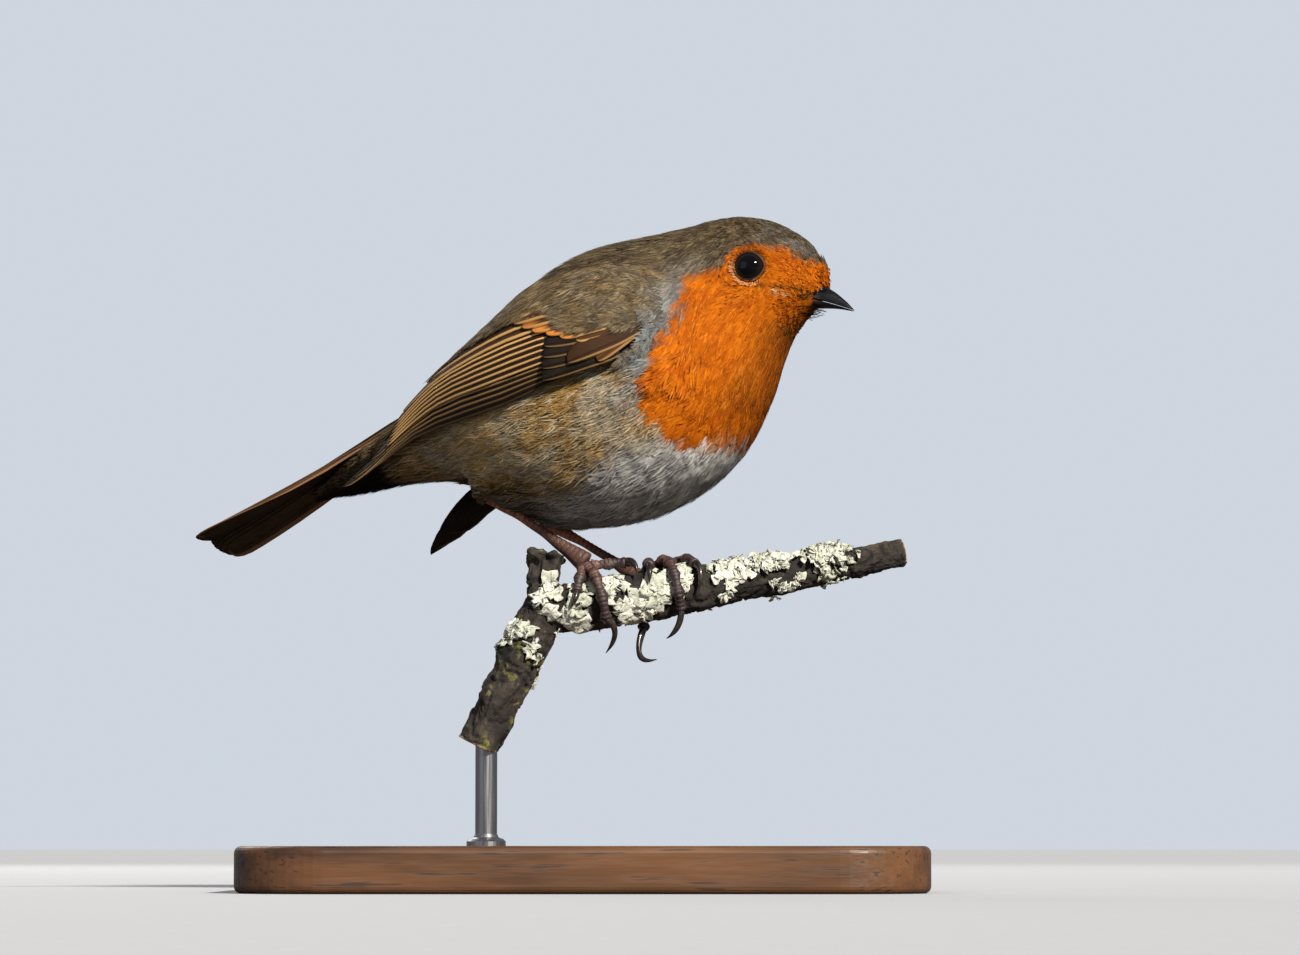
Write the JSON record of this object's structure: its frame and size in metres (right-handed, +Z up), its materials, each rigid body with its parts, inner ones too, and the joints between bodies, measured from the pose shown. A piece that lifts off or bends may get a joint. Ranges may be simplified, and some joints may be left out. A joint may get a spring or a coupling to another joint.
{
  "type": "european robin bird on display perch",
  "caption": "Life-size robin with orange face and breast, gripping a short lichened branch held by a rod on a flat wooden base.",
  "frame": {"origin": "centre of the display base's flat underside", "axes": "+Z up, +X along the base's long side, the way the bird looks (its midplane is turned 25 degrees from +X towards -Y), +Y towards the bird's left"},
  "size_m": [0.1302, 0.078, 0.1171],
  "materials": {
    "plumage_red": "soft feathers, burnt orange",
    "plumage_body": "soft feathers, olive-brown above to grey-white below",
    "flight_feathers": "sleek vanes, dark brown with buff outer edges",
    "bill": "horny, smooth, blackish",
    "eye": "wet gloss, near black",
    "leg_scales": "scaly skin, reddish brown, slight sheen",
    "claw": "smooth horn, blackish",
    "bark": "cracked dark brown bark",
    "lichen": "dry papery lobes, pale grey-green",
    "base_wood": "dark stained wood, satin",
    "rod_metal": "brushed steel, satin"
  },
  "bodies": {
    "root": {"head": "plumage_red", "neck": "plumage_red", "trunk": "plumage_body", "thigh_right": "plumage_body", "thigh_left": "plumage_body", "wing_right_coverts": "plumage_body", "wing_left_coverts": "plumage_body", "wing_right_secondaries": "flight_feathers", "wing_left_secondaries": "flight_feathers", "wing_right_primaries": "flight_feathers", "wing_left_primaries": "flight_feathers", "tail": "flight_feathers", "bill_upper": "bill", "bill_lower": "bill", "eye_left": "eye", "eye_right": "eye", "perch_branch": "bark", "stand_base": "base_wood", "stand_rod": "rod_metal", "tarsus_left": "leg_scales", "tarsus_right": "leg_scales", "toe_left_hind": "leg_scales", "claw_left_hind": "claw", "toe_left_inner": "leg_scales", "claw_left_inner": "claw", "toe_left_middle": "leg_scales", "claw_left_middle": "claw", "toe_left_outer": "leg_scales", "claw_left_outer": "claw", "toe_right_hind": "leg_scales", "claw_right_hind": "claw", "toe_right_inner": "leg_scales", "claw_right_inner": "claw", "toe_right_middle": "leg_scales", "claw_right_middle": "claw", "toe_right_outer": "leg_scales", "claw_right_outer": "claw", "lichen_1": "lichen", "lichen_2": "lichen", "lichen_3": "lichen", "lichen_4": "lichen", "lichen_5": "lichen"}
  },
  "joints": []
}
